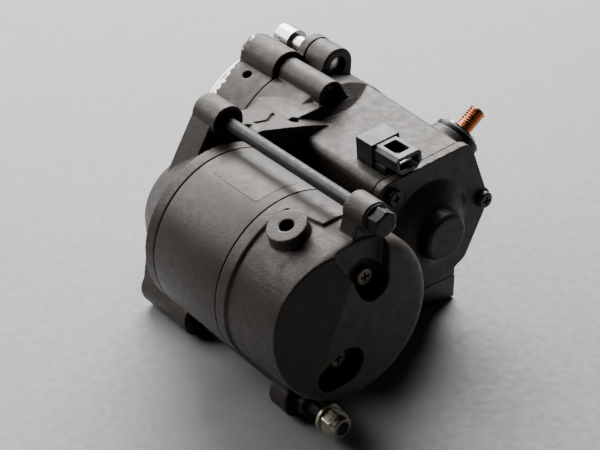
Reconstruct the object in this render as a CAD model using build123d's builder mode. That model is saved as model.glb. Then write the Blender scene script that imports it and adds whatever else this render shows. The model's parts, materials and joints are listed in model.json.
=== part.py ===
"""Offset gear-reduction starter motor: a motor beside a drive line, joined by three gears.

Frame: origin on the drive axis at the mounting face, X towards the rear, Y away from the
motor, Z up as the starter lies on a bench. Every axis of rotation is parallel to X.
"""
from math import acos, atan, atan2, copysign, cos, degrees, hypot, radians, sin
import os

from build123d import *

os.makedirs("parts", exist_ok=True)

# ---- driving dimensions (mm) -------------------------------------------------------------
MOTOR_Y, MOTOR_Z = -72.0, 3.0           # motor axis, seen from the drive axis
GROUND_Z = -51.0                        # the plane the starter lies on

# stations along X
PILOT_FRONT = -10.5
CASE_JOINT = 25.0                       # drive housing meets main housing
MOTOR_WALL = 39.0                       # front of the motor side of the main housing
BARREL_FRONT = 46.0
RING_FRONT = 62.5
YOKE_FRONT = 69.0
YOKE_REAR = 112.7
BARREL_REAR = 112.0
CASE_REAR = 50.0                        # the gear case narrows towards the barrel from here
BEARING_FRONT, BEARING_REAR = 57.0, 65.0        # the two bearings held by the main housing
BORE_FRONT = 66.0                       # where the solenoid bore and the motor bore begin
REAR_BEARING_FRONT, REAR_BEARING_REAR = 146.0, 153.0
COVER_REAR = 157.5
EAR_REAR = 155.0                        # rear face of the upper ear

# motor
YOKE_R, YOKE_WALL = 38.5, 4.0
CORE_R, SHAFT_R = 24.0, 5.0
COMMUTATOR_R = 13.0
BOLT_CIRCLE_R = 46.0
UPPER_BOLT_ANGLE, LOWER_BOLT_ANGLE = 79.6, 255.6
BOLT_R, BOLT_ACROSS = 3.0, 10.0         # thread radius and width across the flats
LOWER_FOOT_REAR = 135.0                 # rear of the cover's lower boss
NUT_SEAT_X, STUD_END = 152.5, 161.0     # nut on the tail of the lower bolt

# terminals
TERMINAL_X, TERMINAL_ANGLE = 97.0, 35.0         # battery terminal, square to the barrel
TERMINAL_STUD_R = 4.0
TERMINAL_NECK_R = 4.3                   # the stud is stouter where it passes through
TERMINAL_POST_R = 11.2
MOTOR_STUD_X, MOTOR_STUD_Y = 100.0, 14.0        # motor terminal, straight down
MOTOR_STUD_R = 3.0
GUARD_L, GUARD_W, GUARD_WALL = 22.0, 20.0, 2.4  # plastic guard round the motor terminal
GUARD_TOP_Z, GUARD_FLOOR_Z, GUARD_END_Z = -39.0, -41.0, -50.5

# drive line
CASE_R, CAVITY_R = 41.0, 31.5
PILOT_R = 34.0
OUTPUT_R = 7.0
TUBE_R = 10.0
PLUNGER_R = 11.0
BARREL_BORE_R = 24.5
ROD_R = 3.0

# gears
MODULE = 1.5
PINION_TEETH, IDLER_TEETH, CLUTCH_TEETH = 12, 24, 38
OUTPUT_MODULE, OUTPUT_TEETH = 2.3, 9

RUNNING = 0.05                          # radial running clearance
LOOSE = 0.4                             # radial clearance of a part that must not touch


# ---- helpers -----------------------------------------------------------------------------
def station(x, y=0.0, z=0.0):
    """Plane across the axes: local x is Y, local y is Z, facing the rear."""
    return Plane(origin=(x, y, z), x_dir=(0, 1, 0), z_dir=(1, 0, 0))


def lengthwise(y=0.0, z=0.0):
    """Plane along an axis for a turned profile: local x is X, local y is the radius."""
    return Plane(origin=(0, y, z), x_dir=(1, 0, 0), z_dir=(0, -1, 0))


def x_axis(y=0.0, z=0.0):
    return Axis((0, y, z), (1, 0, 0))


def polar(radius, angle, y=0.0, z=0.0):
    return (y + radius * cos(radians(angle)), z + radius * sin(radians(angle)))


def disc(x0, x1, radius, centre=(0.0, 0.0), mode=Mode.ADD):
    """Round bar or hole from station x0 to x1."""
    with BuildSketch(station(x0, *centre)) as face:
        Circle(radius)
    extrude(face.sketch, amount=x1 - x0, mode=mode)


def tube(x0, x1, outer, inner, centre=(0.0, 0.0)):
    with BuildSketch(station(x0, *centre)) as face:
        Circle(outer)
        Circle(inner, mode=Mode.SUBTRACT)
    extrude(face.sketch, amount=x1 - x0)


def hull_of(x0, x1, circles, mode=Mode.ADD):
    """Slab whose outline wraps circles given as (y, z, radius)."""
    with BuildSketch(station(x0)) as face:
        with BuildLine() as outline:
            for y, z, radius in circles:
                CenterArc((y, z), radius, 0, 360)
        make_hull(outline.edges())
    extrude(face.sketch, amount=x1 - x0, mode=mode)


def hexagon(x0, x1, across, centre, mode=Mode.ADD):
    with BuildSketch(station(x0, *centre)) as face:
        RegularPolygon(across / 2, 6, major_radius=False)
    extrude(face.sketch, amount=x1 - x0, mode=mode)


def radial_plane(x, radius, angle, centre=(0.0, 0.0)):
    """Plane at a radius, facing outwards along the given angle; local x is X."""
    outwards = (0, *polar(1, angle))
    return Plane(origin=(x, *polar(radius, angle, *centre)), x_dir=(1, 0, 0), z_dir=outwards)


def post(x, r0, r1, radius, angle, centre=(0.0, 0.0), mode=Mode.ADD):
    """Round post standing radially, from radius r0 to r1 of the axis at centre."""
    with BuildSketch(radial_plane(x, r0, angle, centre)) as face:
        Circle(radius)
    extrude(face.sketch, amount=r1 - r0, mode=mode)


def write(part, name):
    part.label = name
    export_step(part, f"parts/{name}.step")


MOTOR = (MOTOR_Y, MOTOR_Z)
UPPER_BOLT = polar(BOLT_CIRCLE_R, UPPER_BOLT_ANGLE, *MOTOR)
LOWER_BOLT = polar(BOLT_CIRCLE_R, LOWER_BOLT_ANGLE, *MOTOR)
LOWER_BOSS_R = LOWER_BOLT[1] - GROUND_Z         # the lower bosses rest on the bench
LOWER_BOSS_FRONT = 28.0
UPPER_BOSS_R = 7.8
UPPER_BOSS_FRONT, UPPER_BOSS_REAR = 44.0, 60.0
SCREW_BOSS = (-4.5, 40.0)
SCREW_BOSS_REAR = 56.0
EAR_BOSS = (13.0, 42.5)
LOW_SCREW = (8.0, -40.0)
SCREW_SEAT_X = 48.5                     # where the heads of the case screws sit

# ---- gear train --------------------------------------------------------------------------
PINION_R = MODULE * PINION_TEETH / 2
IDLER_R = MODULE * IDLER_TEETH / 2
CLUTCH_R = MODULE * CLUTCH_TEETH / 2
GEAR_FRONT, GEAR_REAR = 42.0, 52.0
GEAR_BAY = GEAR_FRONT - 1.5             # the housing is hollow from here, in front of the gears
IDLER_PIN_R, IDLER_PIN_REAR = 4.9, 62.0
MOTOR_BEARING_R, DRIVE_BEARING_R = 13.0, 14.0       # outside of the bearings behind the gears
AXIS_DISTANCE = hypot(MOTOR_Y, MOTOR_Z)
IDLER_REACH = IDLER_R + CLUTCH_R
# the idler sits a little below the line of centres, so that both meshes are true
IDLER_BEND = degrees(acos(
    (IDLER_REACH**2 + AXIS_DISTANCE**2 - (IDLER_R + PINION_R) ** 2) / (2 * IDLER_REACH * AXIS_DISTANCE)
))
IDLER_ANGLE = degrees(atan2(MOTOR_Z, MOTOR_Y)) + IDLER_BEND
IDLER = polar(IDLER_REACH, IDLER_ANGLE)
TO_PINION = degrees(atan2(MOTOR_Z - IDLER[1], MOTOR_Y - IDLER[0]))
# a tooth of the idler points at the pinion; the clutch gear takes the phase that is left
PINION_PHASE = TO_PINION + 180 + 180 / PINION_TEETH
IDLER_LEAD = (TO_PINION - IDLER_ANGLE - 180) % (360 / IDLER_TEETH)
CLUTCH_PHASE = IDLER_ANGLE - IDLER_LEAD * IDLER_TEETH / CLUTCH_TEETH + 180 / CLUTCH_TEETH


def gear(x0, x1, teeth, module, phase, centre=(0.0, 0.0)):
    """Spur gear; teeth are thinned for backlash and shortened for tip clearance."""
    pitch_r = module * teeth / 2
    step = 360 / teeth
    # radius, and the part of the tooth pitch that is metal each side of the tooth's middle
    flank = (
        (pitch_r - 1.15 * module, 0.34),
        (pitch_r, 0.225),
        (pitch_r + 0.75 * module, 0.12),
    )
    points = []
    for tooth in range(teeth):
        middle = phase + tooth * step
        points += [polar(r, middle - share * step) for r, share in flank]
        points += [polar(r, middle + share * step) for r, share in reversed(flank)]
    with BuildSketch(station(x0, *centre)) as face:
        with BuildLine():
            Polyline(*points, close=True)
        make_face()
    extrude(face.sketch, amount=x1 - x0)


LUGS = [(-21.5, 23.5), (32.0, 2.0), (-16.5, -24.0)]         # end cover screws
LUG_R = 5.0

# ---- main housing: gear case, motor joint and solenoid barrel in one casting ---------------
BARREL_R = 34.0                         # size of the barrel where it leaves the gear case
TOP_SLOPE = 4.4                         # the top face rises away from the motor (degrees)
BARREL_TOP = 31.0                       # its height straight above the drive axis
BARREL_CORNERS = (
    (-27.5, 28.9), (20.5, 32.6), (24, 28.5), (33.5, 5), (33.5, -4),
    (23.2, -24.7), (14, -30), (-17, -30), (-27.5, -22),
)


def barrel_outline(x, grow=0.0, lift=0.0, rounding=4.5):
    """Outline of the barrel: flat sloping top, upright wall beside the motor, many-sided below."""
    corners = [
        (y + copysign(grow, y), z + (lift if z > 0 else -grow))
        for y, z in BARREL_CORNERS
    ]
    with BuildSketch(station(x)) as outline:
        with BuildLine():
            Polyline(*corners, close=True)
        make_face()
        fillet(outline.vertices(), rounding)
    return outline.sketch


PLUG_TILT = radians(TOP_SLOPE)
PLUG_Y = -11.8
PLUG_FRONT, PLUG_STEP = 91.5, 102.0     # the solid block, then the shroud behind it
PLUG_REAR = 117.0
PLUG_WIDTH = 15.5
PLUG_SEAT = Plane(
    origin=(PLUG_STEP, PLUG_Y, BARREL_TOP + PLUG_Y * sin(PLUG_TILT)),
    x_dir=(1, 0, 0),
    z_dir=(0, -sin(PLUG_TILT), cos(PLUG_TILT)),
)

# corners of the deck's section, (y, z)
DECK = ((-5, 38), (-28, 36.5), (-63, 46), (-68, 30), (-40, 5))
RAMP_START = ((-5, 38), (-23, 33), (-34, 24), (-36, 15), (-20, 5))
DECK_SLOPE = radians(15.3)


def deck_face(x, corners):
    with BuildSketch(station(x)) as face:
        with BuildLine():
            Polyline(*corners, close=True)
        make_face()
    return face.sketch


with BuildPart() as main_housing:
    disc(CASE_JOINT, CASE_REAR, CASE_R)
    with BuildSketch(lengthwise()):
        with BuildLine():
            Polyline((CASE_REAR, 0), (CASE_REAR, CASE_R), (62, BARREL_R - 2), (62, 0), close=True)
        make_face()
    revolve(axis=x_axis())
    loft([barrel_outline(BARREL_FRONT, 1.5, 2.5), barrel_outline(BARREL_REAR)])
    # motor side: conical nose, joint ring, and the arm that carries the idler
    with BuildSketch(lengthwise(*MOTOR)):
        with BuildLine():
            Polyline((MOTOR_WALL, 0), (MOTOR_WALL, 23), (RING_FRONT, 36.5), (RING_FRONT, YOKE_R),
                     (YOKE_FRONT, YOKE_R), (YOKE_FRONT, 0), close=True)
        make_face()
    revolve(axis=x_axis(*MOTOR))
    hull_of(MOTOR_WALL, BEARING_FRONT, [(0, 0, 36), (*IDLER, IDLER_R + 7), (*MOTOR, 23)])
    # bosses for the through bolts, with webs down to the joint ring
    disc(UPPER_BOSS_FRONT, UPPER_BOSS_REAR, UPPER_BOSS_R, UPPER_BOLT)
    hull_of(UPPER_BOSS_FRONT, UPPER_BOSS_REAR - 2, [(*UPPER_BOLT, 7), (*MOTOR, 23)])
    # deck between the upper boss and the gear case: a ramp up from the joint, then level
    loft([deck_face(CASE_JOINT, RAMP_START), deck_face(UPPER_BOSS_FRONT, DECK)])
    extrude(deck_face(UPPER_BOSS_FRONT, DECK), amount=14)
    hull_of(BEARING_FRONT, BEARING_REAR, [(-50, 36, 6), (-28, 30.5, 6), (-46, 12, 8), (-14, 20, 12)])
    disc(LOWER_BOSS_FRONT, 63, LOWER_BOSS_R, LOWER_BOLT)
    hull_of(LOWER_BOSS_FRONT, 60, [(*LOWER_BOLT, 8.4), (MOTOR_Y, MOTOR_Z - 9, 14)])
    # screw bosses along the top and the bottom of the gear case
    hull_of(CASE_JOINT, SCREW_BOSS_REAR, [(*SCREW_BOSS, 6.8), (0, 20, 12)])
    hull_of(CASE_JOINT, MOTOR_WALL, [(*EAR_BOSS, 8.5), (8, 22, 12)])
    hull_of(CASE_JOINT, 49, [(*LOW_SCREW, 6.8), (4, -20, 12)])
    # cast posts under the two terminals
    post(TERMINAL_X, 24, 40.5, TERMINAL_POST_R, TERMINAL_ANGLE)
    with BuildSketch(radial_plane(TERMINAL_X, 31, TERMINAL_ANGLE)):
        Circle(TERMINAL_POST_R + 3)
    extrude(amount=9.5, taper=degrees(atan(3 / 9.5)))
    disc(100, BARREL_REAR, LUG_R, LUGS[1])
    with BuildSketch(Plane.XY.offset(GUARD_TOP_Z)):
        with Locations((MOTOR_STUD_X, MOTOR_STUD_Y)):
            Rectangle(GUARD_L, GUARD_W)
    extrude(amount=14)
    # ---- cavities
    post(TERMINAL_X, 34, 41, TERMINAL_NECK_R, TERMINAL_ANGLE, mode=Mode.SUBTRACT)
    with BuildSketch(Plane.XY.offset(GUARD_TOP_Z)):
        with Locations((MOTOR_STUD_X, MOTOR_STUD_Y)):
            Circle(MOTOR_STUD_R)
    extrude(amount=3.5, mode=Mode.SUBTRACT)
    for lug in LUGS:
        disc(BARREL_REAR - 8, BARREL_REAR, 2, lug, mode=Mode.SUBTRACT)
    with BuildSketch(PLUG_SEAT.offset(-3)):
        Polygon((PLUG_FRONT - PLUG_STEP, -PLUG_WIDTH / 2), (8, -PLUG_WIDTH / 2), (8, PLUG_WIDTH / 2),
                (PLUG_FRONT - PLUG_STEP, PLUG_WIDTH / 2), align=None)
    extrude(amount=8, mode=Mode.SUBTRACT)
    disc(CASE_JOINT, BEARING_FRONT, CAVITY_R, mode=Mode.SUBTRACT)
    disc(GEAR_BAY, 56, IDLER_R + 3, IDLER, mode=Mode.SUBTRACT)
    disc(GEAR_BAY, IDLER_PIN_REAR, IDLER_PIN_R, IDLER, mode=Mode.SUBTRACT)
    disc(GEAR_BAY, BEARING_FRONT, PINION_R + 3.5, MOTOR, mode=Mode.SUBTRACT)
    disc(56, YOKE_FRONT, MOTOR_BEARING_R, MOTOR, mode=Mode.SUBTRACT)
    disc(BORE_FRONT, YOKE_FRONT, YOKE_R - YOKE_WALL, MOTOR, mode=Mode.SUBTRACT)
    disc(56, BORE_FRONT, DRIVE_BEARING_R, mode=Mode.SUBTRACT)
    disc(BORE_FRONT, BARREL_REAR, BARREL_BORE_R, mode=Mode.SUBTRACT)
    # screw holes: a counterbore open to the rear, the clearance hole beyond it
    for boss in (SCREW_BOSS, LOW_SCREW):
        disc(SCREW_SEAT_X, SCREW_BOSS_REAR + 6, 5.2, boss, mode=Mode.SUBTRACT)
        disc(CASE_JOINT, SCREW_SEAT_X, 2.7, boss, mode=Mode.SUBTRACT)
    disc(CASE_JOINT, MOTOR_WALL, 4.1, EAR_BOSS, mode=Mode.SUBTRACT)
    disc(UPPER_BOSS_REAR - 4, UPPER_BOSS_REAR + 6, 5.7, UPPER_BOLT, mode=Mode.SUBTRACT)
    disc(46, UPPER_BOSS_REAR - 4, BOLT_R, UPPER_BOLT, mode=Mode.SUBTRACT)
    disc(59, 63, 5.5, LOWER_BOLT, mode=Mode.SUBTRACT)
    disc(44, 59, BOLT_R, LOWER_BOLT, mode=Mode.SUBTRACT)
    with BuildSketch(Plane.XY.offset(28)):
        with Locations((58, -27.5)):
            Circle(2.2)
    extrude(amount=20, mode=Mode.SUBTRACT)
    # a cast groove across the deck
    deck_normal = (0, sin(DECK_SLOPE), cos(DECK_SLOPE))
    with BuildSketch(Plane(origin=(0, -28, 35), x_dir=(1, 0, 0), z_dir=deck_normal)):
        Polygon((48, -4), (55, -12.5), (56.5, -21.5), (57.7, -21.3), (56.2, -12), (49, -3.2), align=None)
    extrude(amount=5, mode=Mode.SUBTRACT)
write(main_housing.part, "main_housing")

# ---- drive housing: mounting face, pilot and nose bearing ----------------------------------
LOW_EARS = [polar(52, 222), polar(52, 318)]
with BuildPart() as drive_housing:
    disc(0, CASE_JOINT, CASE_R)
    with BuildSketch(lengthwise()):
        with BuildLine():
            Polyline((PILOT_FRONT, 0), (PILOT_FRONT, PILOT_R - 1.5), (PILOT_FRONT + 1.5, PILOT_R),
                     (-6.6, PILOT_R), (-6.6, PILOT_R - 2.2), (-3.8, PILOT_R - 2.2), (-3.8, PILOT_R),
                     (0, PILOT_R), (0, 0), close=True)
        make_face()
    revolve(axis=x_axis())
    disc(0, CASE_JOINT, 9.5, SCREW_BOSS)
    hull_of(0, CASE_JOINT, [(*LOW_SCREW, 8), (4, -20, 12)])
    disc(0, 19.5, 6.6, EAR_BOSS, mode=Mode.SUBTRACT)
    hull_of(19.5, CASE_JOINT, [(*EAR_BOSS, 8.8), (8, 24, 14)])
    for ear in LOW_EARS:
        hull_of(0, 10, [(*ear, 8.5), (ear[0] * 0.4, ear[1] * 0.4, 16)])
    disc(6, CASE_JOINT, CAVITY_R, mode=Mode.SUBTRACT)
    disc(PILOT_FRONT, 0, 24, mode=Mode.SUBTRACT)
    disc(-4, 0, 17)
    disc(-1, 8, 15, mode=Mode.SUBTRACT)
    disc(-4, -1, 10.5, mode=Mode.SUBTRACT)
    for ear in LOW_EARS:
        disc(0, 10, 4.25, ear, mode=Mode.SUBTRACT)
    disc(19.5, CASE_JOINT, 4.35, EAR_BOSS, mode=Mode.SUBTRACT)
    post(11, CAVITY_R - 2, CASE_R + 6, 2.2, 116, mode=Mode.SUBTRACT)
    for boss in (SCREW_BOSS, LOW_SCREW):
        disc(12, CASE_JOINT, 2.5, boss, mode=Mode.SUBTRACT)
write(drive_housing.part, "drive_housing")

# ---- motor: yoke, rear cover and what the yoke holds ----------------------------------------
POLES = 4
with BuildPart() as motor_yoke:
    tube(YOKE_FRONT, YOKE_REAR, YOKE_R, YOKE_R - YOKE_WALL, MOTOR)
write(motor_yoke.part, "motor_yoke")

COVER_R = 37.4
PAD_X, PAD_ANGLE = 130.0, 111.6
EAR_FRONT = 143.0
EAR_R = 6.8
BAND_ANGLE = 69.0                       # the raised band across the rear face, and its screws
BAND_HALF = 13.0
HOLDER_SCREW_R = 18.2                   # circle the brush holder screws stand on
HOLDER_SCREWS = [polar(HOLDER_SCREW_R, BAND_ANGLE + turn, *MOTOR) for turn in (0, 180)]
POCKET_X = 149.0                        # floor of the pockets round those screws
# circles that each pocket's outline wraps, measured from the motor axis: (y, z, radius)
POCKETS = (
    ((6.5, 17, 7.6), (3, 21, 6.5)),
    ((-6.5, -17, 8.2), (-14, -19, 7)),
)
MOUTH = ((6.5, 17, 7), (-5, 33, 5), (9, 33, 5))      # shallow cut from the upper pocket to the rim
GROMMET_X, GROMMET_ANGLE = 121.0, -40.0

with BuildPart() as tongue:
    with BuildSketch(Plane.XY.offset(20)):
        Polygon((118, -78.2), (121, -78.2), (137.5, -75), (135, -52), (118, -50), align=None)
    extrude(amount=25)
    disc(110, 145, YOKE_R, MOTOR, mode=Mode.INTERSECT)

with BuildPart() as rear_cover:
    with BuildSketch(lengthwise(*MOTOR)):
        with BuildLine():
            Polyline((YOKE_REAR, 0), (YOKE_REAR, YOKE_R), (119, YOKE_R), (119.8, COVER_R),
                     (COVER_REAR, COVER_R - 0.6), (COVER_REAR, 0), close=True)
        make_face()
    revolve(axis=x_axis(*MOTOR))
    fillet(rear_cover.faces().sort_by(Axis.X)[-1].edges(), 7)
    # the face slopes away on the far side of the band
    with BuildSketch(Plane(origin=(0, *MOTOR), x_dir=(1, 0, 0), z_dir=(0, *polar(1, BAND_ANGLE)))):
        Polygon((COVER_REAR, -BAND_HALF), (COVER_REAR - 10, -40), (COVER_REAR + 5, -40),
                (COVER_REAR + 5, -BAND_HALF), align=None)
    extrude(amount=45, both=True, mode=Mode.SUBTRACT)
    add(tongue.part)
    disc(EAR_FRONT, EAR_REAR, EAR_R, UPPER_BOLT)
    hull_of(EAR_FRONT, EAR_REAR - 3, [(*UPPER_BOLT, EAR_R - 1), (MOTOR_Y + 6, 28, 9)])
    disc(124, LOWER_FOOT_REAR, LOWER_BOSS_R, LOWER_BOLT)
    hull_of(124, LOWER_FOOT_REAR - 1, [(*LOWER_BOLT, 7), (MOTOR_Y - 8, -24, 11)])
    post(PAD_X, 30, 42, 8.5, PAD_ANGLE, MOTOR)
    post(GROMMET_X, 30, 40, 7, GROMMET_ANGLE, MOTOR)
    with BuildSketch(lengthwise(*MOTOR)):
        with BuildLine():
            Polyline((YOKE_REAR, 0), (YOKE_REAR, YOKE_R - YOKE_WALL), (139, YOKE_R - YOKE_WALL),
                     (144, 26), (149, 19), (149, 0), close=True)
        make_face()
    revolve(axis=x_axis(*MOTOR), mode=Mode.SUBTRACT)
    disc(REAR_BEARING_FRONT, POCKET_X + 3, 14.5, MOTOR)
    for seat in HOLDER_SCREWS:
        disc(138.2, POCKET_X + 1, 5, seat)
        hull_of(POCKET_X - 4, POCKET_X + 1, [(*seat, 9.5), (*MOTOR, 12)])
    disc(140, REAR_BEARING_FRONT, 12, MOTOR, mode=Mode.SUBTRACT)
    disc(REAR_BEARING_FRONT, REAR_BEARING_REAR + 0.5, 11, MOTOR, mode=Mode.SUBTRACT)
    for floor_x, outline in ((POCKET_X, POCKETS[0]), (POCKET_X, POCKETS[1]), (POCKET_X + 4, MOUTH)):
        circles = [(MOTOR_Y + y, MOTOR_Z + z, radius) for y, z, radius in outline]
        hull_of(floor_x, COVER_REAR + 1, circles, mode=Mode.SUBTRACT)
    for seat in HOLDER_SCREWS:
        disc(138, COVER_REAR, 2.2, seat, mode=Mode.SUBTRACT)
    disc(EAR_FRONT, EAR_REAR, BOLT_R + LOOSE, UPPER_BOLT, mode=Mode.SUBTRACT)
    disc(124, LOWER_FOOT_REAR, BOLT_R + LOOSE, LOWER_BOLT, mode=Mode.SUBTRACT)
    post(PAD_X, 36, 43, 3, PAD_ANGLE, MOTOR, mode=Mode.SUBTRACT)
    post(GROMMET_X, 28, 41, 5, GROMMET_ANGLE, MOTOR, mode=Mode.SUBTRACT)
write(rear_cover.part, "rear_cover")

POLE_R = CORE_R + 0.8
with BuildPart() as pole_shoes:
    with BuildSketch(station(74, *MOTOR)):
        Circle(YOKE_R - YOKE_WALL)
        Circle(POLE_R, mode=Mode.SUBTRACT)
        with PolarLocations(0, POLES):
            Polygon((0, 0), (50, 26), (26, 50), align=None, mode=Mode.SUBTRACT)
    extrude(amount=36)
    with BuildSketch(station(74, *MOTOR)):
        Circle(YOKE_R - YOKE_WALL)
        Circle(POLE_R + 2.8, mode=Mode.SUBTRACT)
        with PolarLocations(0, POLES):
            Rectangle(80, 17, mode=Mode.SUBTRACT)
    extrude(amount=36, mode=Mode.SUBTRACT)
write(pole_shoes.part, "pole_shoes")

with BuildPart() as field_coils:
    with BuildSketch(station(71.5, *MOTOR)):
        Circle(YOKE_R - YOKE_WALL - 0.2)
        Circle(POLE_R + 3.0, mode=Mode.SUBTRACT)
        with PolarLocations(0, POLES):
            Polygon((0, 0), (60, 52), (52, 60), align=None, mode=Mode.SUBTRACT)
    extrude(amount=41)
    with BuildSketch(station(73.5, *MOTOR)):
        with PolarLocations(0, POLES):
            Rectangle(80, 17.4)
    extrude(amount=37, mode=Mode.SUBTRACT)
write(field_coils.part, "field_coils")

# ---- armature -----------------------------------------------------------------------------
SLOTS = 16
with BuildPart() as armature_shaft:
    disc(56, 150, SHAFT_R, MOTOR)
    gear(GEAR_FRONT, 56, PINION_TEETH, MODULE, PINION_PHASE, MOTOR)
write(armature_shaft.part, "armature_shaft")

with BuildPart() as armature_core:
    tube(76, 110, CORE_R, SHAFT_R, MOTOR)
    with BuildSketch(station(76, *MOTOR)):
        with PolarLocations(CORE_R - 4, SLOTS):
            Rectangle(8.5, 3)
    extrude(amount=34, mode=Mode.SUBTRACT)
write(armature_core.part, "armature_core")

with BuildPart() as armature_winding:
    tube(70, 75.8, CORE_R - 2, 13, MOTOR)
    tube(110.2, 118, CORE_R - 2, 13, MOTOR)
    with BuildSketch(station(75.8, *MOTOR)):
        with PolarLocations(CORE_R - 5, SLOTS):
            Rectangle(5.5, 2.4)
    extrude(amount=34.4)
write(armature_winding.part, "armature_winding")

with BuildPart() as commutator:
    tube(118.3, 136, COMMUTATOR_R, SHAFT_R, MOTOR)
    with BuildSketch(station(118.3, *MOTOR)):
        with PolarLocations(COMMUTATOR_R, 2 * SLOTS):
            Rectangle(1.6, 0.6)
    extrude(amount=17.7, mode=Mode.SUBTRACT)
write(commutator.part, "commutator")


def ball_bearing(x0, x1, outer, inner, balls, centre=(0.0, 0.0)):
    """Two races and a ring of balls as separate solids."""
    wall = (outer - inner) * 0.26
    tube(x0, x1, outer, outer - wall, centre)
    tube(x0, x1, inner + wall, inner, centre)
    ball_r = (outer - inner) / 2 - wall - RUNNING
    with Locations(station((x0 + x1) / 2, *centre)):
        with PolarLocations((outer + inner) / 2, balls):
            Sphere(ball_r)


with BuildPart() as armature_front_bearing:
    ball_bearing(BEARING_FRONT, BEARING_REAR, MOTOR_BEARING_R, SHAFT_R + RUNNING, 8, MOTOR)
write(armature_front_bearing.part, "armature_front_bearing")

with BuildPart() as armature_rear_bearing:
    ball_bearing(REAR_BEARING_FRONT, REAR_BEARING_REAR, 11, SHAFT_R + RUNNING, 8, MOTOR)
write(armature_rear_bearing.part, "armature_rear_bearing")

# ---- brush gear ---------------------------------------------------------------------------
BRUSH_X0, BRUSH_X1 = 122.0, 134.0
BRUSH_IN, BRUSH_OUT = COMMUTATOR_R + 0.15, 24.0
HOLDER_OUT = 32.0


def at_brushes():
    """One plane per brush, facing outwards, standing on the motor axis."""
    return [radial_plane((BRUSH_X0 + BRUSH_X1) / 2, 0, angle, MOTOR) for angle in (45, 135, 225, 315)]


with BuildPart() as brush_plate:
    tube(136, 138, 33.5, 14.5, MOTOR)
    for plane in at_brushes():
        with BuildSketch(plane.offset(15.5)):
            Rectangle(BRUSH_X1 - BRUSH_X0 + 4.4, 10.4)
        extrude(amount=HOLDER_OUT - 15.5)
        with BuildSketch(plane.offset(15.5)):
            Rectangle(BRUSH_X1 - BRUSH_X0 + 0.4, 7.4)
        extrude(amount=HOLDER_OUT - 17, mode=Mode.SUBTRACT)
    for seat in HOLDER_SCREWS:
        disc(136, 138, 2.0, seat, mode=Mode.SUBTRACT)
write(brush_plate.part, "brush_plate")

with BuildPart() as brushes:
    for plane in at_brushes():
        with BuildSketch(plane.offset(BRUSH_IN)):
            Rectangle(BRUSH_X1 - BRUSH_X0, 7)
        extrude(amount=BRUSH_OUT - BRUSH_IN)
write(brushes.part, "brushes")

with BuildPart() as brush_springs:
    for plane in at_brushes():
        for turn in range(4):
            with BuildSketch(Plane(plane.origin, x_dir=plane.z_dir, z_dir=plane.y_dir)):
                with Locations((BRUSH_OUT + 0.6 + turn * 1.6, 2.4)):
                    Circle(0.45)
            revolve(axis=Axis(plane.origin, plane.z_dir))
write(brush_springs.part, "brush_springs")

# ---- idler, clutch and output shaft ---------------------------------------------------------
with BuildPart() as idler_gear:
    gear(GEAR_FRONT, GEAR_REAR, IDLER_TEETH, MODULE, TO_PINION, IDLER)
    disc(GEAR_FRONT, GEAR_REAR, 8, IDLER, mode=Mode.SUBTRACT)
write(idler_gear.part, "idler_gear")

with BuildPart() as idler_rollers:
    with BuildSketch(station(GEAR_FRONT + 0.5, *IDLER)):
        with PolarLocations(6.45, 7):
            Circle(1.45)
    extrude(amount=GEAR_REAR - GEAR_FRONT - 1)
write(idler_rollers.part, "idler_rollers")

with BuildPart() as idler_pin:
    disc(GEAR_BAY, IDLER_PIN_REAR, IDLER_PIN_R, IDLER)
write(idler_pin.part, "idler_pin")

with BuildPart() as clutch_outer:
    gear(GEAR_FRONT, GEAR_REAR, CLUTCH_TEETH, MODULE, CLUTCH_PHASE)
    disc(20, GEAR_FRONT, 26)
    disc(22, 40, 16.9, mode=Mode.SUBTRACT)
    disc(20, GEAR_REAR, TUBE_R + 0.6, mode=Mode.SUBTRACT)
write(clutch_outer.part, "clutch_outer")

with BuildPart() as clutch_rollers:
    with BuildSketch(station(24)):
        with PolarLocations(13.45, 6):
            Circle(3.3)
    extrude(amount=14)
write(clutch_rollers.part, "clutch_rollers")

with BuildPart() as clutch_inner:
    tube(-0.8, 64, TUBE_R, OUTPUT_R + RUNNING)
write(clutch_inner.part, "clutch_inner")

with BuildPart() as drive_front_bearing:
    ball_bearing(0, 8, 15, TUBE_R + RUNNING, 9)
write(drive_front_bearing.part, "drive_front_bearing")

with BuildPart() as drive_rear_bearing:
    ball_bearing(BEARING_FRONT, BEARING_REAR, DRIVE_BEARING_R, TUBE_R + RUNNING, 9)
write(drive_rear_bearing.part, "drive_rear_bearing")

SHAFT_FRONT, SHAFT_REAR = -26.0, 42.0
with BuildPart() as output_shaft:
    disc(SHAFT_FRONT, SHAFT_REAR, OUTPUT_R)
    disc(30, SHAFT_REAR, 4.05, mode=Mode.SUBTRACT)
    chamfer(output_shaft.faces().sort_by(Axis.X)[0].edges(), 0.8)
write(output_shaft.part, "output_shaft")

with BuildPart() as thrust_ball:
    with Locations((SHAFT_REAR - 4, 0, 0)):
        Sphere(4)
write(thrust_ball.part, "thrust_ball")

with BuildPart() as output_pinion:
    gear(SHAFT_FRONT + 3, SHAFT_FRONT + 15, OUTPUT_TEETH, OUTPUT_MODULE, 0)
    disc(SHAFT_FRONT + 3, SHAFT_FRONT + 15, OUTPUT_R, mode=Mode.SUBTRACT)
write(output_pinion.part, "output_pinion")

with BuildPart() as pinion_ring:
    tube(SHAFT_FRONT + 1.4, SHAFT_FRONT + 2.9, OUTPUT_R + 1.2, OUTPUT_R)
write(pinion_ring.part, "pinion_ring")

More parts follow.
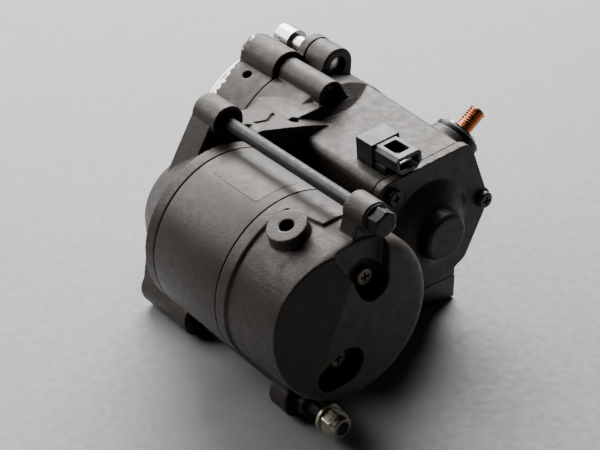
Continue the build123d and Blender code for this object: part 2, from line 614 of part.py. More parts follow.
# ---- solenoid -----------------------------------------------------------------------------
COIL_FRONT, COIL_REAR = 75.0, 100.0
with BuildPart() as stator_core:
    disc(BORE_FRONT, COIL_FRONT, BARREL_BORE_R)
    disc(BORE_FRONT, COIL_FRONT, ROD_R + LOOSE, mode=Mode.SUBTRACT)
    disc(COIL_FRONT - 3, COIL_FRONT, 7.5, mode=Mode.SUBTRACT)
write(stator_core.part, "stator_core")

with BuildPart() as coil_bobbin:
    tube(COIL_FRONT, COIL_REAR, 13.5, PLUNGER_R + 0.3)
    tube(COIL_FRONT, COIL_FRONT + 1.5, BARREL_BORE_R - 0.3, 13.4)
    tube(COIL_REAR - 1.5, COIL_REAR, BARREL_BORE_R - 0.3, 13.4)
write(coil_bobbin.part, "coil_bobbin")

with BuildPart() as solenoid_coil:
    tube(COIL_FRONT + 1.5, COIL_REAR - 1.5, BARREL_BORE_R - 1, 13.5)
write(solenoid_coil.part, "solenoid_coil")

with BuildPart() as plunger:
    disc(86, 106, PLUNGER_R)
    disc(86, 92, 7.5, mode=Mode.SUBTRACT)
    disc(92, 106, ROD_R, mode=Mode.SUBTRACT)
write(plunger.part, "plunger")

with BuildPart() as plunger_rod:
    disc(SHAFT_REAR + 0.3, 116, ROD_R)
write(plunger_rod.part, "plunger_rod")

with BuildPart() as contact_plate:
    with BuildSketch(station(112)):
        RectangleRounded(13, 34, 4)
        Circle(ROD_R, mode=Mode.SUBTRACT)
    extrude(amount=2.5)
write(contact_plate.part, "contact_plate")

with BuildPart() as return_spring:
    spring_path = Helix(pitch=3.4, height=13.2, radius=5.6, center=(74, 0, 0), direction=(1, 0, 0))
    with BuildSketch(Plane(origin=spring_path @ 0, z_dir=spring_path % 0)):
        Circle(0.6)
    sweep(path=spring_path)
write(return_spring.part, "return_spring")

with BuildPart() as fixed_contacts:
    for side in (-1, 1):
        with BuildSketch(station(101.2)):
            with Locations((0, side * 15)):
                Rectangle(13, 9)
            Circle(PLUNGER_R + 0.8, mode=Mode.SUBTRACT)
        extrude(amount=0.6)
write(fixed_contacts.part, "fixed_contacts")

COVER_FRONT = BARREL_REAR + 0.6
with BuildPart() as solenoid_end_cover:
    extrude(barrel_outline(COVER_FRONT, 0.9, 1.0, 5.5), amount=4.4)
    disc(COVER_FRONT, COVER_FRONT + 4.4, LUG_R, LUGS[1])
    with BuildSketch(lengthwise()):
        with BuildLine():
            Polyline((115, 0), (115, 22), (117.3, 22), (120.5, 17.5), (123.5, 12.2), (128.4, 11.2),
                     (129.6, 9.8), (129.6, 0), close=True)
        make_face()
    revolve(axis=x_axis())
    with BuildSketch(lengthwise()):
        with BuildLine():
            Polyline((COVER_FRONT, 0), (COVER_FRONT, 20), (115.5, 19.5), (117.5, 16), (121, 9.5),
                     (126.5, 8.5), (126.5, 0), close=True)
        make_face()
    revolve(axis=x_axis(), mode=Mode.SUBTRACT)
    for lug in LUGS:
        disc(COVER_FRONT, COVER_FRONT + 5, 2.2, lug, mode=Mode.SUBTRACT)
write(solenoid_end_cover.part, "solenoid_end_cover")

with BuildPart() as cover_gasket:
    extrude(barrel_outline(BARREL_REAR), amount=0.6)
    disc(BARREL_REAR, COVER_FRONT, 23, mode=Mode.SUBTRACT)
    for lug in LUGS:
        disc(BARREL_REAR, COVER_FRONT, 2.6, lug, mode=Mode.SUBTRACT)
write(cover_gasket.part, "cover_gasket")

# ---- fasteners ----------------------------------------------------------------------------
def cap_screw(seat_x, centre, tip_x, shank, head, height):
    """Screw entered from the rear, with a cross-recessed round head."""
    disc(tip_x, seat_x, shank, centre)
    disc(seat_x, seat_x + height, head, centre)
    chamfer(faces().sort_by(Axis.X)[-1].edges(), height * 0.2)
    with BuildSketch(station(seat_x + height, *centre)) as recess:
        Rectangle(head * 1.1, head * 0.26)
        Rectangle(head * 0.26, head * 1.1)
    extrude(recess.sketch, amount=-height * 0.6, mode=Mode.SUBTRACT)


def screw_set(screws):
    """Join single screws into one node of separate solids."""
    return Compound(children=list(screws))


cover_screws = []
for lug in LUGS:
    with BuildPart() as cover_screw:
        cap_screw(COVER_FRONT + 4.4, lug, BARREL_REAR - 8, 2.0, 3.9, 3.2)
    cover_screws.append(cover_screw.part)
write(screw_set(cover_screws), "end_cover_screws")

case_screws = []
for boss in (SCREW_BOSS, LOW_SCREW):
    with BuildPart() as case_screw:
        cap_screw(SCREW_SEAT_X, boss, 14, 2.5, 4.6, 4)
    case_screws.append(case_screw.part)
write(screw_set(case_screws), "case_screws")

holder_screws = []
for seat in HOLDER_SCREWS:
    with BuildPart() as holder_screw:
        cap_screw(POCKET_X, seat, 136, 2.0, 4.0, 2.6)
    holder_screws.append(holder_screw.part)
write(screw_set(holder_screws), "brush_holder_screws")

with BuildPart() as upper_through_bolt:
    disc(47, EAR_REAR, BOLT_R, UPPER_BOLT)
    disc(EAR_REAR, EAR_REAR + 1.2, 6.4, UPPER_BOLT)
    hexagon(EAR_REAR + 1.2, EAR_REAR + 6.5, BOLT_ACROSS, UPPER_BOLT)
    chamfer(faces().sort_by(Axis.X)[-1].edges(), 0.5)
write(upper_through_bolt.part, "upper_through_bolt")

with BuildPart() as lower_stud_bolt:
    disc(45, STUD_END, BOLT_R, LOWER_BOLT)
    hexagon(LOWER_FOOT_REAR, LOWER_FOOT_REAR + 6, BOLT_ACROSS, LOWER_BOLT)
    chamfer(faces().sort_by(Axis.X)[-1].edges(), 0.5)
write(lower_stud_bolt.part, "lower_stud_bolt")

with BuildPart() as stud_washer:
    tube(NUT_SEAT_X - 1.5, NUT_SEAT_X, 6.2, BOLT_R + 0.2, LOWER_BOLT)
write(stud_washer.part, "stud_washer")

with BuildPart() as stud_nut:
    hexagon(NUT_SEAT_X, NUT_SEAT_X + 6, BOLT_ACROSS, LOWER_BOLT)
    disc(NUT_SEAT_X + 6, STUD_END, 4.7, LOWER_BOLT)
    disc(NUT_SEAT_X, STUD_END, BOLT_R, LOWER_BOLT, mode=Mode.SUBTRACT)
write(stud_nut.part, "stud_nut")

with BuildPart() as ear_bolt:
    disc(-1.5, 8.5, 6.2, EAR_BOSS)
    disc(8.5, 36, 4.1, EAR_BOSS)
    hexagon(-1.5, 2.5, 6, EAR_BOSS, mode=Mode.SUBTRACT)
write(ear_bolt.part, "ear_bolt")

# ---- seals --------------------------------------------------------------------------------
with BuildPart() as pilot_o_ring:
    with BuildSketch(lengthwise()):
        with Locations((-5.2, PILOT_R - 1.15)):
            Circle(1.05)
    revolve(axis=x_axis())
write(pilot_o_ring.part, "pilot_o_ring")

with BuildPart() as nose_seal:
    tube(-4, -1, 10.5, OUTPUT_R + 0.1)
write(nose_seal.part, "nose_seal")

# ---- terminals ----------------------------------------------------------------------------
def terminal_post(r0, r1, radius, inner=0.0):
    with BuildSketch(radial_plane(TERMINAL_X, r0, TERMINAL_ANGLE)) as face:
        Circle(radius)
        if inner:
            Circle(inner, mode=Mode.SUBTRACT)
    extrude(face.sketch, amount=r1 - r0)


with BuildPart() as battery_insulator:
    terminal_post(40.5, 43.5, 11, TERMINAL_NECK_R)
    chamfer(faces().sort_by(Axis.Y)[-1].edges(), 0.6)
write(battery_insulator.part, "battery_insulator")

with BuildPart() as battery_washer:
    terminal_post(43.5, 44.7, 8.2, TERMINAL_NECK_R)
write(battery_washer.part, "battery_washer")

with BuildPart() as battery_stud:
    terminal_post(36, 44.7, TERMINAL_NECK_R)
    terminal_post(44.7, 57.5, TERMINAL_STUD_R)
write(battery_stud.part, "battery_stud")

with BuildPart() as motor_terminal_insulator:
    with BuildSketch(Plane.XY.offset(GUARD_FLOOR_Z)):
        with Locations((MOTOR_STUD_X, MOTOR_STUD_Y)):
            Rectangle(GUARD_L, GUARD_W)
            Circle(MOTOR_STUD_R, mode=Mode.SUBTRACT)
    extrude(amount=GUARD_TOP_Z - GUARD_FLOOR_Z)
    with BuildSketch(Plane.XY.offset(GUARD_END_Z)):
        with Locations((MOTOR_STUD_X + (GUARD_L - GUARD_WALL) / 2, MOTOR_STUD_Y)):
            Rectangle(GUARD_WALL, GUARD_W)
        with Locations((MOTOR_STUD_X, MOTOR_STUD_Y + (GUARD_W - GUARD_WALL) / 2)):
            Rectangle(GUARD_L, GUARD_WALL)
    extrude(amount=GUARD_FLOOR_Z - GUARD_END_Z)
write(motor_terminal_insulator.part, "motor_terminal_insulator")

with BuildPart() as motor_terminal_stud:
    with BuildSketch(Plane.XY.offset(GROUND_Z)):
        with Locations((MOTOR_STUD_X, MOTOR_STUD_Y)):
            Circle(MOTOR_STUD_R)
    extrude(amount=15)
write(motor_terminal_stud.part, "motor_terminal_stud")

with BuildPart() as motor_terminal_nut:
    with BuildSketch(Plane.XY.offset(-49.5)):
        with Locations((MOTOR_STUD_X, MOTOR_STUD_Y)):
            RegularPolygon(6, 6, major_radius=False)
            Circle(MOTOR_STUD_R, mode=Mode.SUBTRACT)
    extrude(amount=6)
write(motor_terminal_nut.part, "motor_terminal_nut")

LUG_Z = -43.5
with BuildPart() as lead_lug:
    with BuildSketch(Plane.XY.offset(LUG_Z)):
        with Locations((MOTOR_STUD_X, MOTOR_STUD_Y)):
            Circle(7)
        with Locations((MOTOR_STUD_X, MOTOR_STUD_Y - 8)):
            Rectangle(8, 12)
        with Locations((MOTOR_STUD_X, MOTOR_STUD_Y)):
            Circle(MOTOR_STUD_R, mode=Mode.SUBTRACT)
    extrude(amount=2.5)
write(lead_lug.part, "lead_lug")

LEAD_R = 3.2
LEAD_Z = LUG_Z + 1.25
LEAD_IN = polar(33, GROMMET_ANGLE, *MOTOR)
LEAD_OUT = polar(50, GROMMET_ANGLE, *MOTOR)
with BuildPart() as motor_lead:
    with BuildLine() as lead_route:
        FilletPolyline(
            (MOTOR_STUD_X, 0, LEAD_Z),
            (MOTOR_STUD_X, -13, LEAD_Z),
            (MOTOR_STUD_X + 8, -26, LEAD_Z + 4),
            (GROMMET_X, *LEAD_OUT),
            (GROMMET_X, *LEAD_IN),
            radius=8,
        )
    with BuildSketch(Plane(origin=lead_route.line @ 0, z_dir=lead_route.line % 0)):
        Circle(LEAD_R)
    sweep()
write(motor_lead.part, "motor_lead")

with BuildPart() as lead_grommet:
    post(GROMMET_X, 35, 43, 5, GROMMET_ANGLE, MOTOR)
    post(GROMMET_X, 35, 43, LEAD_R, GROMMET_ANGLE, MOTOR, mode=Mode.SUBTRACT)
write(lead_grommet.part, "lead_grommet")

# ---- signal connector on the top face -------------------------------------------------------
SPADE_W, SPADE_T = 6.35, 0.8
HALF = PLUG_WIDTH / 2
SHROUD_LENGTH = PLUG_REAR - PLUG_STEP


def plug_box(x0, x1, width, z0, z1, mode=Mode.ADD):
    """Box on the connector's seat, x0 to x1 along it, centred across it."""
    with BuildSketch(PLUG_SEAT.offset(z0)) as face:
        with Locations(((x0 + x1) / 2, 0)):
            Rectangle(x1 - x0, width)
    extrude(face.sketch, amount=z1 - z0, mode=mode)


with BuildPart() as connector_body:
    plug_box(PLUG_FRONT - PLUG_STEP, 0, PLUG_WIDTH, -3, 11.2)
    plug_box(0, 7.5, PLUG_WIDTH - 1.6, -3, 3)
    with BuildSketch(Plane(origin=PLUG_SEAT.origin, x_dir=PLUG_SEAT.y_dir, z_dir=(1, 0, 0))):
        with BuildLine():
            Polyline((-HALF + 0.8, 4.4), (-HALF + 3.6, 1.8), (HALF - 3.6, 1.8), (HALF - 0.8, 4.4),
                     (HALF - 0.8, 9.0), (HALF - 2.4, 10.6), (-HALF + 2.4, 10.6), (-HALF + 0.8, 9.0),
                     close=True)
        make_face()
    extrude(amount=SHROUD_LENGTH)
    plug_box(2, SHROUD_LENGTH, PLUG_WIDTH - 5.4, 3.6, 8.8, mode=Mode.SUBTRACT)
    plug_box(2.5, SHROUD_LENGTH - 3.5, 7, 8, 11, mode=Mode.SUBTRACT)
    plug_box(-5, 2, SPADE_W, 5.6, 5.6 + SPADE_T, mode=Mode.SUBTRACT)
write(connector_body.part, "connector_body")

with BuildPart() as spade_terminal:
    plug_box(-5, SHROUD_LENGTH - 2.5, SPADE_W, 5.6, 5.6 + SPADE_T)
write(spade_terminal.part, "spade_terminal")
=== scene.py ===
"""Looks for the starter motor: cast skins, threads, finishes, floor, light and camera."""
import json
import math

import bpy
from mathutils import Matrix, Vector


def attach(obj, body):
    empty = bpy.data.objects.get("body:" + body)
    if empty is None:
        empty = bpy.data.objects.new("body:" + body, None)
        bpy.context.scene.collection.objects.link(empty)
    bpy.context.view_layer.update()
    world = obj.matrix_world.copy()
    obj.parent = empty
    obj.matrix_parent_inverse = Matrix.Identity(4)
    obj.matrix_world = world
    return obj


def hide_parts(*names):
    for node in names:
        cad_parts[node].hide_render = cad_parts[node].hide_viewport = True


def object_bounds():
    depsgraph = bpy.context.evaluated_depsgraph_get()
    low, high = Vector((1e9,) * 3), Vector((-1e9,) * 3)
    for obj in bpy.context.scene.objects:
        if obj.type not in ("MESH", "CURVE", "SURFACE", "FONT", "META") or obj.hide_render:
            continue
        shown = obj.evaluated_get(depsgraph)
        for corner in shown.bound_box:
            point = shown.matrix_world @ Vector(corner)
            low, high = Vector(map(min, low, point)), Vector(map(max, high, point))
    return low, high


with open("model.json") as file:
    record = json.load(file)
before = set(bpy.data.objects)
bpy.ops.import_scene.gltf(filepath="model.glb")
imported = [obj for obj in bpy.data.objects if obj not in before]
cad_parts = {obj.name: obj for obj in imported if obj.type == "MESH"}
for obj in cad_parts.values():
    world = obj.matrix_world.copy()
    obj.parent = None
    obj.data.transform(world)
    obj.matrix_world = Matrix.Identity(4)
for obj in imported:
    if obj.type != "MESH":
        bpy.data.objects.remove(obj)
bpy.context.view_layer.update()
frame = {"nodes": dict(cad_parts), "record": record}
nodes = frame["nodes"]
scene = bpy.context.scene

MM = 0.001
MOTOR = (-72.0, 3.0)
UPPER_BOLT = (-63.7, 48.24)
LOWER_BOLT = (-83.4, -41.6)
YOKE_R = 38.5
BOLT_R = 3
BOLT_ACROSS = 10
YOKE_FRONT = 69.0
YOKE_REAR = 112.7
TERMINAL_X = 97.0
TERMINAL_ANGLE = math.radians(35)


# ---------------------------------------------------------------- materials

# colour that up-facing surfaces are lightened towards: settled dust, and also painted sheen from the top
# light
DUST_AND_SHEEN_COLOUR = (0.17, 0.155, 0.14)


def add(tree, kind, **inputs):
    """A shader node with its named inputs set, or linked when given a socket."""
    made = tree.nodes.new("ShaderNode" + kind)
    for name, value in inputs.items():
        socket = made.inputs[int(name[1:])] if name[0] == "_" else made.inputs[name]
        if isinstance(value, bpy.types.NodeSocket):
            tree.links.new(value, socket)
        else:
            socket.default_value = value
    return made


def maths(tree, operation, first, second=0.0):
    made = add(tree, "Math", _0=first, _1=second)
    made.operation = operation
    return made.outputs[0]


def noise(tree, place, scale, detail=3.0):
    return add(tree, "TexNoise", Vector=place, Scale=scale, Detail=detail).outputs["Fac"]


def span(tree, value, low, high, to_low=0.0, to_high=1.0):
    """Value taken from one range to another, smoothly and clamped."""
    made = add(tree, "MapRange", _0=value, _1=low, _2=high, _3=to_low, _4=to_high)
    made.interpolation_type = "SMOOTHSTEP"
    return made.outputs[0]


def blend_colour(tree, amount, first, second):
    made = tree.nodes.new("ShaderNodeMix")
    made.data_type = "RGBA"
    for socket, value in zip((0, 6, 7), (amount, first, second)):
        if isinstance(value, bpy.types.NodeSocket):
            tree.links.new(value, made.inputs[socket])
        elif socket:
            made.inputs[socket].default_value = (*value, 1.0)
        else:
            made.inputs[socket].default_value = value
    return made.outputs[2]


def finish(name, dark, light, rough, metallic=0.0, grain=(1500, 0.00004), lumps=(260, 0.00004),
           wear=None, wear_colour=(0.2, 0.2, 0.2), dust_and_sheen=0.0, sheen_colour=(1, 1, 1)):
    """A finish with colour variation, uneven roughness and two sizes of bump.

    grain and lumps are (noise scale, bump distance); wear and dust are added where given. The dust mix
    lightens up-facing surfaces, partly settled dust and partly painted sheen of the top light."""
    mat = bpy.data.materials.new(name)
    mat.use_nodes = True
    tree = mat.node_tree
    shader = tree.nodes["Principled BSDF"]
    place = tree.nodes.new("ShaderNodeTexCoord").outputs["Object"]
    broad = noise(tree, place, 45.0, 5.0)
    colour = blend_colour(tree, span(tree, broad, 0.32, 0.68), dark, light)
    fine = noise(tree, place, grain[0])
    coarse = noise(tree, place, lumps[0], 4.0)
    # painted sheen with dust: the more a surface faces up, the more it is lightened towards the dust
    # colour
    if dust_and_sheen:
        normal = tree.nodes.new("ShaderNodeNewGeometry").outputs["Normal"]
        up = add(tree, "SeparateXYZ", Vector=normal)
        settled_dust_and_sheen = maths(tree, "MULTIPLY", span(tree, up.outputs[2], 0.2, 1.0), broad)
        colour = blend_colour(tree, maths(tree, "MULTIPLY", settled_dust_and_sheen, dust_and_sheen), colour, DUST_AND_SHEEN_COLOUR)
    if wear:
        edge = tree.nodes.new("ShaderNodeNewGeometry").outputs["Pointiness"]
        uneven = maths(tree, "MULTIPLY", maths(tree, "SUBTRACT", coarse, 0.5), 0.03)
        ragged = maths(tree, "ADD", edge, uneven)
        colour = blend_colour(tree, span(tree, ragged, *wear), colour, wear_colour)
    tree.links.new(colour, shader.inputs["Base Color"])
    patchy = maths(tree, "ADD", coarse, maths(tree, "MULTIPLY", broad, 0.5))
    tree.links.new(span(tree, patchy, 0.5, 1.0, *rough), shader.inputs["Roughness"])
    shader.inputs["Metallic"].default_value = metallic
    shader.inputs["Specular Tint"].default_value = (*sheen_colour, 1.0)
    big = add(tree, "Bump", Strength=1.0, Distance=lumps[1], Height=coarse)
    small = add(tree, "Bump", Strength=1.0, Distance=grain[1], Height=fine, Normal=big.outputs[0])
    tree.links.new(small.outputs[0], shader.inputs["Normal"])
    return mat


def bared(mat, depth, chips, colour=(0.62, 0.61, 0.6)):
    """Bare metal over everything in front of depth, with ragged chips round the given points."""
    tree = mat.node_tree
    shader = tree.nodes["Principled BSDF"]
    place = tree.nodes.new("ShaderNodeTexCoord").outputs["Object"]
    x = add(tree, "SeparateXYZ", Vector=place).outputs[0]
    ragged = noise(tree, place, 420.0, 5.0)
    limit = depth * MM
    for point, reach, extra in chips:
        away = add(tree, "VectorMath", _0=place, _1=[v * MM for v in point])
        away.operation = "DISTANCE"
        near = span(tree, away.outputs["Value"], reach * MM, 0.4 * reach * MM)
        cut = maths(tree, "MULTIPLY", near, span(tree, ragged, 0.42, 0.62, 0.0, extra * MM))
        limit = maths(tree, "ADD", cut, limit)
    bare = maths(tree, "LESS_THAN", x, limit)
    for name, value in (("Base Color", colour), ("Metallic", 1.0), ("Roughness", 0.34)):
        socket = shader.inputs[name]
        if name == "Base Color":
            painted = socket.links[0].from_socket
            tree.links.new(blend_colour(tree, bare, painted, value), socket)
        elif socket.links:
            mixed = add(tree, "Mix", _0=bare, _2=socket.links[0].from_socket, _3=value)
            tree.links.new(mixed.outputs[0], socket)
        else:
            tree.links.new(maths(tree, "MULTIPLY", bare, value), socket)
    return mat


COAT_DARK, COAT_LIGHT = (0.0150, 0.0112, 0.0088), (0.026, 0.0198, 0.016)
COAT_SHEEN = (1.0, 0.92, 0.86)
# the coat's dust amount also paints sheen on its up-facing surfaces
coat = dict(dark=COAT_DARK, light=COAT_LIGHT, rough=(0.42, 0.58), grain=(1050, 0.00014),
            lumps=(240, 0.0001), wear=(0.57, 0.68), wear_colour=(0.075, 0.066, 0.058), dust_and_sheen=0.38,
            sheen_colour=COAT_SHEEN)
LOOKS = {
    "black_casting": finish("powder_coat", **coat),
    # the painted steel's dust amount also paints sheen on its up-facing surfaces
    "black_steel": finish("painted_steel", COAT_DARK, COAT_LIGHT, (0.40, 0.52), grain=(1100, 0.0001),
                          lumps=(300, 0.00003), dust_and_sheen=0.5, sheen_colour=COAT_SHEEN),
    "dark_bolt": finish("phosphated_steel", (0.018, 0.0175, 0.017), (0.045, 0.043, 0.042), (0.36, 0.55),
                        metallic=0.6, lumps=(500, 0.00003)),
    "zinc_steel": finish("zinc_plate", (0.40, 0.36, 0.27), (0.64, 0.60, 0.48), (0.26, 0.46),
                         metallic=1.0, lumps=(420, 0.00003)),
    "bright_steel": finish("bright_steel", (0.52, 0.51, 0.50), (0.74, 0.73, 0.71), (0.2, 0.42),
                           metallic=1.0, lumps=(380, 0.00002)),
    "copper": finish("copper", (0.62, 0.24, 0.11), (0.86, 0.42, 0.22), (0.2, 0.42), metallic=1.0,
                     lumps=(500, 0.00003)),
    "black_plastic": finish("moulded_plastic", (0.012, 0.012, 0.0125), (0.02, 0.02, 0.021), (0.32, 0.46),
                            grain=(1800, 0.00002), lumps=(150, 0.00003)),
    "black_rubber": finish("rubber", (0.012, 0.012, 0.012), (0.022, 0.022, 0.022), (0.6, 0.8)),
    "winding": finish("enamelled_wire", (0.34, 0.13, 0.05), (0.5, 0.2, 0.08), (0.25, 0.4), metallic=0.8),
    "carbon": finish("carbon", (0.03, 0.03, 0.032), (0.05, 0.05, 0.052), (0.5, 0.7)),
    "gasket": finish("fibre_gasket", (0.03, 0.028, 0.026), (0.05, 0.047, 0.043), (0.7, 0.9)),
    "nylon": finish("nylon", (0.62, 0.61, 0.57), (0.72, 0.71, 0.67), (0.4, 0.6)),
}
SLOT_OF = {part["node"]: part["material_slot"] for part in frame["record"]["subparts"]}

# zinc colour darkened with painted shade of the recesses that the case and brush-holder screws sit in
ZINC_WITH_PAINTED_RECESS_SHADE = finish("zinc_with_painted_recess_shade", (0.10, 0.085, 0.06), (0.24, 0.20, 0.14), (0.3, 0.5), metallic=0.9,
                   lumps=(500, 0.00003))

OTHER_LOOKS = {
    "brush_holder_screws": ZINC_WITH_PAINTED_RECESS_SHADE,
    "case_screws": ZINC_WITH_PAINTED_RECESS_SHADE,
    "end_cover_screws": LOOKS["black_steel"],
    "battery_washer": LOOKS["bright_steel"],
}

for node_name, cad in nodes.items():
    for holder in cad.material_slots:
        holder.material = OTHER_LOOKS.get(node_name, LOOKS[SLOT_OF[node_name]])


# ---------------------------------------------------------------- pieces

def piece(name, mesh, slot, stands_for, body="frame"):
    """Puts a mesh in the scene as a piece that rides on a body and stands for CAD nodes."""
    made = bpy.data.objects.new(name, mesh)
    scene.collection.objects.link(made)
    mesh.materials.clear()
    mesh.materials.append(LOOKS[slot])
    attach(made, body)
    if stands_for:
        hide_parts(*stands_for)
    return made


def smooth_faces(mesh, angle=0.6):
    mesh.polygons.foreach_set("use_smooth", [True] * len(mesh.polygons))
    mesh.set_sharp_from_angle(angle=angle)


def cast_skin(node_name, voxel=0.45, passes=5):
    """A casting's skin: the CAD solid with every edge and inside corner softened."""
    rough = bpy.data.objects.new("rough_" + node_name, nodes[node_name].data.copy())
    scene.collection.objects.link(rough)
    grid = rough.modifiers.new("grid", "REMESH")
    grid.mode = "VOXEL"
    grid.voxel_size = voxel * MM
    soften = rough.modifiers.new("soften", "SMOOTH")
    soften.factor = 0.5
    soften.iterations = passes
    graph = bpy.context.evaluated_depsgraph_get()
    mesh = bpy.data.meshes.new_from_object(rough.evaluated_get(graph))
    bpy.data.objects.remove(rough)
    mesh.polygons.foreach_set("use_smooth", [True] * len(mesh.polygons))
    return mesh


# where the coat is chipped at the mounting face: (point, reach round it, depth), in mm
CHIPS = [
    ((0, -31, 27), 11, 4.5),
    ((0, -24, 34), 9, 4.0),
    ((0, -12, 45), 8, 1.8),
    ((0, -4, 49), 8, 1.6),
]
for cast_name in ("main_housing", "drive_housing", "rear_cover", "solenoid_end_cover"):
    made = piece(cast_name + "_skin", cast_skin(cast_name), "black_casting", [cast_name])
    if cast_name == "drive_housing":
        made.data.materials[0] = bared(finish("nose_coat", **coat), 0.3, CHIPS)
piece("connector_shell", cast_skin("connector_body", 0.2, 3), "black_plastic", ["connector_body"])


def lathe(name, profile, place, slot, stands_for, direction=(1, 0, 0), flats=None, thread=None,
          steps=96):
    """Turns (distance, radius) pairs in mm about a line through place.

    flats is (from, to, across flats) and cuts a hexagon; thread is (from, to, pitch, depth)."""
    rows = list(profile)
    if thread:
        begin, end, pitch, depth = thread
        count = int((end - begin) / pitch * 8)
        radius = max(r for x, r in profile if begin <= x <= end)
        inside = [(begin + (end - begin) * i / count, radius) for i in range(count + 1)]
        rows = [p for p in profile if p[0] < begin] + inside + [p for p in profile if p[0] > end]
    verts = []
    for x, r in rows:
        for i in range(steps):
            angle = math.tau * i / steps
            here = r
            if flats and flats[0] <= x <= flats[1]:
                turn = (angle + math.pi / 6) % (math.pi / 3) - math.pi / 6
                here = min(here, flats[2] / 2 / math.cos(turn))
            if thread and thread[0] <= x <= thread[1]:
                phase = (x / pitch - angle / math.tau) % 1.0
                fade = min(1.0, (x - begin) / pitch, (end - x) / pitch * 2)
                here -= depth * max(0.0, fade) * (1 - abs(2 * phase - 1))
            verts.append((x * MM, here * MM * math.cos(angle), here * MM * math.sin(angle)))
    faces = []
    for row in range(len(rows) - 1):
        for i in range(steps):
            j = (i + 1) % steps
            a, b = row * steps, (row + 1) * steps
            faces.append((a + i, a + j, b + j, b + i))
    if rows[0] != rows[-1]:
        faces.append(tuple(reversed(range(steps))))
        faces.append(tuple((len(rows) - 1) * steps + i for i in range(steps)))
    mesh = bpy.data.meshes.new(name)
    mesh.from_pydata(verts, [], faces)
    turn = Vector((1, 0, 0)).rotation_difference(Vector(direction))
    mesh.transform(Matrix.Translation([v * MM for v in place]) @ turn.to_matrix().to_4x4())
    mesh.validate()
    smooth_faces(mesh)
    return piece(name, mesh, slot, stands_for)


def rounded(points, radius=0.4, count=4):
    """The same outline with each inside point rounded off."""
    out = [points[0]]
    for before, here, after in zip(points, points[1:], points[2:]):
        b, h, a = Vector(before), Vector(here), Vector(after)
        cut = min(radius, (h - b).length * 0.45, (a - h).length * 0.45)
        start, end = h + (b - h).normalized() * cut, h + (a - h).normalized() * cut
        for i in range(count + 1):
            t = i / count
            out.append(tuple(start * (1 - t) ** 2 + h * 2 * t * (1 - t) + end * t ** 2))
    out.append(points[-1])
    return out


# Motor tube, with softened ends so the joints with the castings show as fine lines.
tube_ends = YOKE_FRONT + 0.35, YOKE_REAR - 0.15
tube_outline = [(tube_ends[0], YOKE_R - 2), (tube_ends[0], YOKE_R), (tube_ends[1], YOKE_R),
                (tube_ends[1], YOKE_R - 4), (tube_ends[0], YOKE_R - 4), (tube_ends[0], YOKE_R - 2)]
tube_outline = rounded(tube_outline, 0.55)
tube_outline[-1] = tube_outline[0]
lathe("motor_tube", tube_outline, (0, *MOTOR), "black_steel", ["motor_yoke"], steps=256)

# Two long bolts.
upper_outline = [(47, BOLT_R), (155, BOLT_R), (155, 6.2), (155.6, 6.2), (155.6, 5.8), (161.0, 5.6),
                 (161.6, 4.4), (161.6, 0.1)]
lathe("upper_bolt", rounded(upper_outline, 0.35), (0, *UPPER_BOLT), "dark_bolt",
      ["upper_through_bolt"], flats=(155.65, 161.7, BOLT_ACROSS))
lower_outline = [(45, BOLT_R), (135, BOLT_R), (135, 5.7), (141, 5.7), (141, BOLT_R), (161, BOLT_R),
                 (161.6, 2.4), (161.6, 0.1)]
lathe("lower_bolt", rounded(lower_outline, 0.35), (0, *LOWER_BOLT), "dark_bolt",
      ["lower_stud_bolt"], flats=(135.1, 140.9, BOLT_ACROSS), thread=(148, 161, 1.0, 0.55))
washer_outline = [(151, 3.2), (151, 6.3), (152.4, 6.3), (152.4, 3.2), (151, 3.2)]
lathe("lock_washer", rounded(washer_outline, 0.25), (0, *LOWER_BOLT), "zinc_steel", ["stud_washer"])
nut_outline = [(152.5, 3.05), (152.5, 5.0), (153.2, 5.7), (158.0, 5.7), (158.7, 5.0), (160.4, 4.8),
               (161.1, 4.2), (161.1, 3.05), (152.5, 3.05)]
lathe("lock_nut", rounded(nut_outline, 0.3), (0, *LOWER_BOLT), "zinc_steel", ["stud_nut"],
      flats=(152.4, 158.4, BOLT_ACROSS))

# Battery terminal, standing out along its own line.
terminal_line = (0, math.cos(TERMINAL_ANGLE), math.sin(TERMINAL_ANGLE))
terminal = dict(place=(TERMINAL_X, 0, 0), direction=terminal_line)
stud_outline = [(30, 4), (44, 4), (56.3, 4), (57.2, 3.1), (57.2, 0.1)]
lathe("battery_stud_threaded", rounded(stud_outline, 0.3), slot="copper",
      stands_for=["battery_stud"], thread=(45.5, 56.3, 1.25, 0.7), **terminal)
disc_outline = [(40.5, 4.1), (40.5, 11), (42.6, 11), (43.5, 9.9), (43.5, 4.1), (40.5, 4.1)]
lathe("battery_disc", rounded(disc_outline, 0.5), slot="black_plastic",
      stands_for=["battery_insulator"], **terminal)


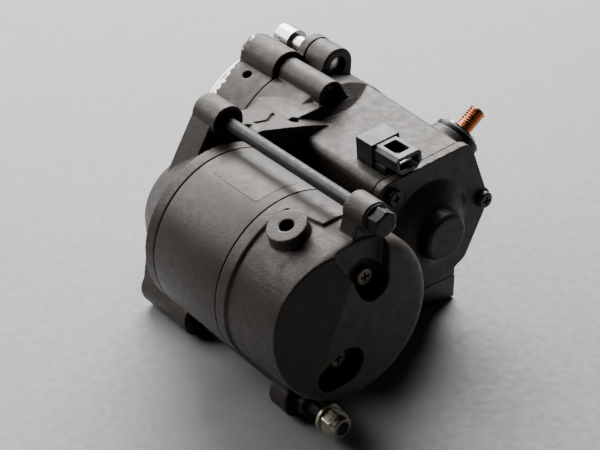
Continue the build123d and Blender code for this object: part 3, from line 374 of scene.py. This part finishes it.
def label_patch(name, x0, x1, angle0, angle1, proud, corner=2.0, count=40):
    """A blank label under the paint: a curved patch standing slightly proud of the tube."""
    reach = (angle1 - angle0) / 2
    across = YOKE_R * math.radians(reach)
    half = (x1 - x0) / 2
    rows = []
    for i in range(count + 1):
        along = (2 * i / count - 1) * half
        inset = max(0.0, abs(along) - half + corner)
        width = across - corner + math.sqrt(max(0.0, corner ** 2 - inset ** 2))
        rows.append((along, width))
    verts, faces = [], []
    for level in (-0.2, proud):
        for along, width in rows:
            for j in range(count + 1):
                side = (2 * j / count - 1) * width
                angle = math.radians(angle0 + reach) + side / YOKE_R
                r = YOKE_R + level
                verts.append(((x0 + half + along) * MM, (MOTOR[0] + r * math.cos(angle)) * MM,
                              (MOTOR[1] + r * math.sin(angle)) * MM))
    side = count + 1
    layer = side * side

    def quad(a, b, c, d, flip):
        faces.append((d, c, b, a) if flip else (a, b, c, d))

    for i in range(count):
        for j in range(count):
            a = i * side + j
            quad(a, a + 1, a + side + 1, a + side, False)
            quad(*(v + layer for v in (a, a + 1, a + side + 1, a + side)), True)
        for start, step in ((i, 1), (count * side + i, 1), (i * side, side), (i * side + count, side)):
            flip = start == i or start == i * side + count
            quad(start, start + step, start + step + layer, start + layer, flip)
    mesh = bpy.data.meshes.new(name)
    mesh.from_pydata(verts, [], faces)
    mesh.validate()
    smooth_faces(mesh)
    return piece(name, mesh, "black_steel", [])


label_patch("blank_label", 75.5, 106.5, 76.0, 108.5, 0.14)

# ---------------------------------------------------------------- floor, light and camera

def plane(name, size, centre, material):
    half = size / 2
    mesh = bpy.data.meshes.new(name)
    corners = [(-half, -half, 0), (half, -half, 0), (half, half, 0), (-half, half, 0)]
    mesh.from_pydata(corners, [], [(0, 1, 2, 3)])
    made = bpy.data.objects.new(name, mesh)
    made.location = centre
    mesh.materials.append(material)
    scene.collection.objects.link(made)
    return made


FLOOR = finish("pale_floor", (0.33, 0.33, 0.332), (0.36, 0.36, 0.362), (0.55, 0.7),
               grain=(300, 0.00002))
FLOOR_SIZE, FLOOR_GAP = 6.0, 0.0002
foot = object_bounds()[0][2]
plane("floor", FLOOR_SIZE, (0, 0, foot - FLOOR_GAP), FLOOR)


def lamp(name, place, aim, size, watts, colour=(1, 1, 1)):
    data = bpy.data.lights.new(name, "AREA")
    data.shape = "RECTANGLE"
    data.size, data.size_y = size
    data.energy = watts
    data.color = colour
    made = bpy.data.objects.new(name, data)
    scene.collection.objects.link(made)
    made.location = place
    made.rotation_euler = (Vector(aim) - Vector(place)).to_track_quat("-Z", "Y").to_euler()
    return made


CENTRE = (0.075, -0.035, 0.0)
lamp("back_softbox", (-0.62, 0.50, 0.70), CENTRE, (1.1, 0.8), 38.0)
lamp("motor_side_softbox", (-0.66, -0.42, 0.55), CENTRE, (0.8, 0.6), 9.0)

world = bpy.data.worlds.new("studio")
scene.world = world
world.use_nodes = True
world.node_tree.nodes["Background"].inputs["Color"].default_value = (0.8, 0.82, 0.85, 1)
world.node_tree.nodes["Background"].inputs["Strength"].default_value = 0.015

lens = bpy.data.cameras.new("photo_camera")
lens.lens = 96.0
lens.sensor_width = 36.0
camera = bpy.data.objects.new("photo_camera", lens)
scene.collection.objects.link(camera)
right, up = Vector((0.61895, 0.78542, -0.00291)), Vector((-0.42275, 0.33627, 0.84155))
backward = right.cross(up)
turn_to = Matrix((right, up, backward)).transposed().to_4x4()
camera.matrix_world = Matrix.Translation((0.542019, -0.404173, 0.375649)) @ turn_to
scene.camera = camera
